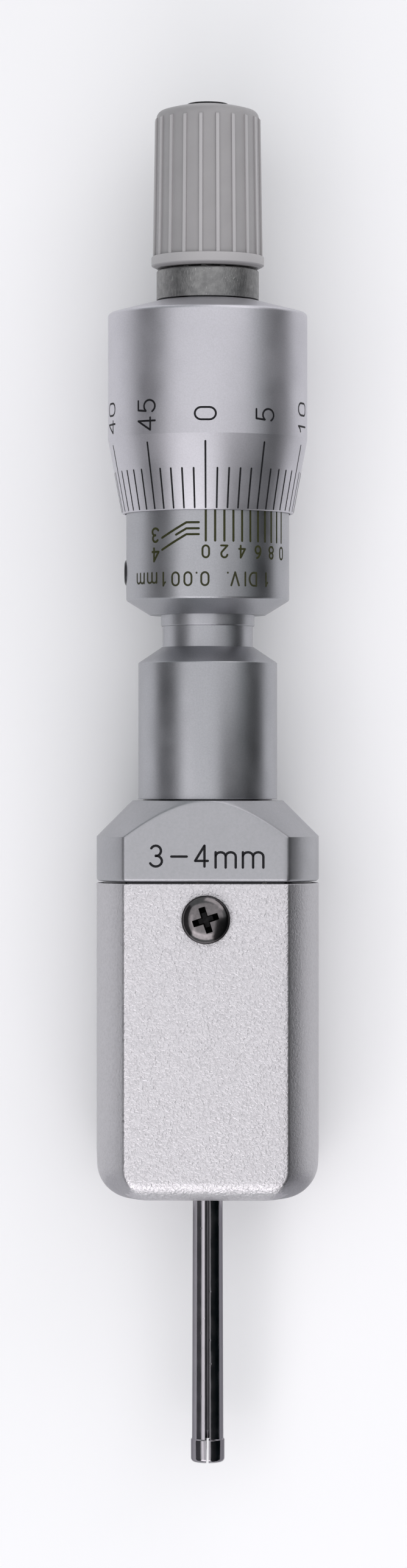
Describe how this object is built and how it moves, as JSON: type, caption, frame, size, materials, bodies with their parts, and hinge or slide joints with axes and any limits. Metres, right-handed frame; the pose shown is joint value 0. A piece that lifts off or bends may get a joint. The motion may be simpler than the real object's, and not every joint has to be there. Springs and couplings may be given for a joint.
{
  "type": "inside micrometer",
  "caption": "Two-arm inside micrometer for small bores: split measuring head on a long stem, flat-sided body, scale sleeve, thimble and ribbed ratchet grip.",
  "frame": {"origin": "on the long axis, in the plane where the two arms touch the bore, at the middle of the measuring head", "axes": "+Y along the instrument towards the ratchet, +Z out of the front face that carries the main scale and the cover screw, +X to the right as the front is read with the ratchet up"},
  "size_m": [0.019, 0.1159, 0.017],
  "materials": {
    "polished_steel": "polished",
    "spring_steel": "satin",
    "ground_steel": "satin",
    "brass": "satin",
    "pearl_chrome": "matte",
    "satin_steel": "satin",
    "satin_chrome": "satin",
    "turned_steel": "satin",
    "black_steel": "gloss",
    "grey_plastic": "matte"
  },
  "bodies": {
    "housing": {"body_block": "satin_steel", "lower_cover": "pearl_chrome", "cover_screw": "black_steel", "collar": "satin_chrome", "nut_tube": "satin_chrome", "scale_sleeve": "satin_chrome", "sleeve_set_screw": "black_steel", "adjusting_nut": "ground_steel", "needle_bush": "brass", "needle_spring": "spring_steel", "pivot_pin_right": "ground_steel", "pivot_pin_left": "ground_steel", "arm_spring": "spring_steel"},
    "needle": {"cone_needle": "ground_steel", "needle_cup": "brass", "thrust_ball": "ground_steel"},
    "screw": {"spindle": "ground_steel", "thimble": "satin_chrome", "ratchet_body": "turned_steel", "end_screw": "black_steel"},
    "ratchet_grip": {"grip_sleeve": "grey_plastic", "ratchet_wheel": "ground_steel", "ratchet_spring": "spring_steel"},
    "arm_right": {"measuring_arm_right": "polished_steel"},
    "arm_left": {"measuring_arm_left": "polished_steel"}
  },
  "joints": [
    {"name": "spindle_feed", "type": "slide", "parent": "housing", "child": "needle", "axis": [0, -1, 0], "range_m": [0, 0.002], "deforming": ["needle_spring"]},
    {"name": "thimble_turn", "type": "hinge", "parent": "needle", "child": "screw", "pos_m": [0, 0.08, 0], "axis": [0, -1, 0], "range_deg": [0, 1440]},
    {"name": "ratchet_turn", "type": "hinge", "parent": "screw", "child": "ratchet_grip", "pos_m": [0, 0.11, 0], "axis": [0, -1, 0], "continuous": true},
    {"name": "arm_right_open", "type": "hinge", "parent": "housing", "child": "arm_right", "pos_m": [0.0027, 0.0429, 0], "axis": [0, 0, 1], "range_deg": [0, 0.7589], "deforming": ["arm_spring"]},
    {"name": "arm_left_open", "type": "hinge", "parent": "housing", "child": "arm_left", "pos_m": [-0.0027, 0.0429, 0], "axis": [0, 0, -1], "range_deg": [0, 0.7589], "deforming": ["arm_spring"]}
  ],
  "couplings": [
    {"joint": "thimble_turn", "follows": "spindle_feed", "rad_per_m": 12566},
    {"joint": "arm_right_open", "follows": "spindle_feed", "rad_per_m": 6.6142},
    {"joint": "arm_left_open", "follows": "spindle_feed", "rad_per_m": 6.6142}
  ]
}
